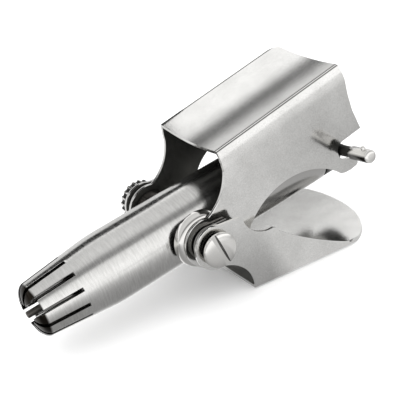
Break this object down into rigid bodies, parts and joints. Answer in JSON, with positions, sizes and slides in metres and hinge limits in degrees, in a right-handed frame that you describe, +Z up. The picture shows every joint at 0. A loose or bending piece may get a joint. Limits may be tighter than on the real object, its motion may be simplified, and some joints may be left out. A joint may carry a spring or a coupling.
{
  "type": "nose hair trimmer",
  "caption": "Hand-squeezed steel nose hair trimmer: two folded handles turn a slotted inner blade inside a slotted tapering tube.",
  "frame": {"origin": "middle of the bounding box, on the table plane under the flat underside of the lower handle", "axes": "+X from the cutting crown to the rear of the handles, +Y away from the side the drive pin sticks out of, +Z up from the lower handle to the upper one"},
  "size_m": [0.0662, 0.0334, 0.0313],
  "materials": {
    "blade_steel": "brushed lengthwise",
    "handle_steel": "satin",
    "polished_steel": "polished",
    "dark_steel": "dark, unpolished",
    "spring_steel": "drawn wire"
  },
  "bodies": {
    "barrel": {"outer_tube": "blade_steel", "boss_near": "polished_steel", "boss_far": "polished_steel", "guide_bush": "blade_steel", "blade_spring": "spring_steel", "spacer_near": "polished_steel", "spacer_far": "polished_steel", "spring_near": "spring_steel", "spring_far": "spring_steel", "screw_washer": "polished_steel", "pivot_screw": "polished_steel", "pivot_stud": "polished_steel"},
    "cutter": {"inner_blade": "dark_steel", "cutter_shaft": "polished_steel", "drive_hub": "dark_steel", "drive_pin": "polished_steel", "pin_lug": "polished_steel"},
    "upper_grip": {"upper_handle": "handle_steel"},
    "lower_grip": {"lower_handle": "handle_steel"},
    "nut": {"knurled_nut": "polished_steel"}
  },
  "joints": [
    {"name": "upper_handle_hinge", "type": "hinge", "parent": "barrel", "child": "upper_grip", "pos_m": [-0.00191, 0.00147, 0.01174], "axis": [0, 1, 0], "range_deg": [0, 10], "stiffness_Nm_per_rad": 0.1, "springref_deg": -14.32},
    {"name": "lower_handle_hinge", "type": "hinge", "parent": "barrel", "child": "lower_grip", "pos_m": [-0.00191, 0.00147, 0.01174], "axis": [0, -1, 0], "range_deg": [0, 8], "stiffness_Nm_per_rad": 0.1, "springref_deg": -14.32},
    {"name": "cutter_spin", "type": "hinge", "parent": "barrel", "child": "cutter", "pos_m": [-0.00191, 0.00147, 0.01174], "axis": [0.9972, 0, 0.0748], "range_deg": [0, 30]},
    {"name": "nut_spin", "type": "hinge", "parent": "barrel", "child": "nut", "pos_m": [-0.00191, 0.01524, 0.01174], "axis": [0, 1, 0], "continuous": true}
  ],
  "couplings": [
    {"joint": "cutter_spin", "follows": "upper_handle_hinge", "ratio": 2.967}
  ]
}
